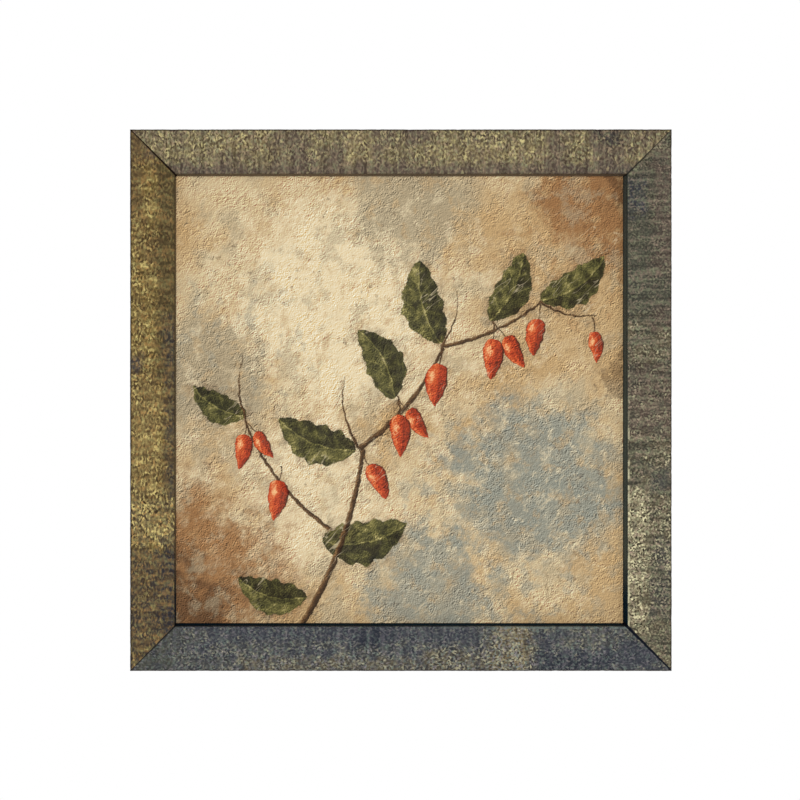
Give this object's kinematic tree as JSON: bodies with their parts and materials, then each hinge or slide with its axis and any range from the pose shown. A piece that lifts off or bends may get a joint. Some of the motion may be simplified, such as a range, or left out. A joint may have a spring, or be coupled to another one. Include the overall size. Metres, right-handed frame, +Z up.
{
  "type": "framed picture",
  "caption": "Square framed picture: a mitred, distress-painted wooden frame holds a canvas print and its boards with steel tabs, and hangs on the wall by a toothed plate.",
  "frame": {"origin": "on the wall, at the frame's mid width, level with the top of the hanger's middle notch, which is where it bears on the wall's nail", "axes": "the picture faces -Y and the wall is the plane y = 0, so +Y points into the wall; +Z is up and +X is to the right of someone who looks at the picture"},
  "size_m": [0.368, 0.0253, 0.368],
  "materials": {
    "rail_paint_slate": "distressed slate-grey paint with a gritty, worn surface, over wood",
    "rail_paint_gold": "distressed old-gold paint with a gritty, worn surface, over wood",
    "rail_paint_olive": "distressed olive paint with marks across the grain, over wood",
    "rail_paint_drab": "distressed drab paint, dark at the top and rubbed pale lower down, over wood",
    "printed_canvas": "matt canvas, printed and textured like an old oil painting",
    "grey_board": "matt board",
    "hardboard": "smooth brown hardboard",
    "zinc_steel": "dull zinc plating",
    "hanger_steel": "bright zinc plating",
    "felt": "pressed wool felt"
  },
  "bodies": {
    "root": {"rail_bottom": "rail_paint_slate", "rail_left": "rail_paint_gold", "rail_top": "rail_paint_olive", "rail_right": "rail_paint_drab", "canvas_print": "printed_canvas", "mount_board": "grey_board", "backing_board": "hardboard", "tab_bottom_1": "zinc_steel", "tab_bottom_2": "zinc_steel", "tab_left_1": "zinc_steel", "tab_left_2": "zinc_steel", "tab_top_1": "zinc_steel", "tab_top_2": "zinc_steel", "tab_right_1": "zinc_steel", "tab_right_2": "zinc_steel", "v_nail_bottom_left_outer": "zinc_steel", "v_nail_bottom_left_inner": "zinc_steel", "v_nail_top_left_outer": "zinc_steel", "v_nail_top_left_inner": "zinc_steel", "v_nail_top_right_outer": "zinc_steel", "v_nail_top_right_inner": "zinc_steel", "v_nail_bottom_right_outer": "zinc_steel", "v_nail_bottom_right_inner": "zinc_steel", "hanger_plate": "hanger_steel", "hanger_nail_left": "hanger_steel", "hanger_nail_right": "hanger_steel", "wall_pad_left": "felt", "wall_pad_right": "felt"}
  },
  "joints": []
}
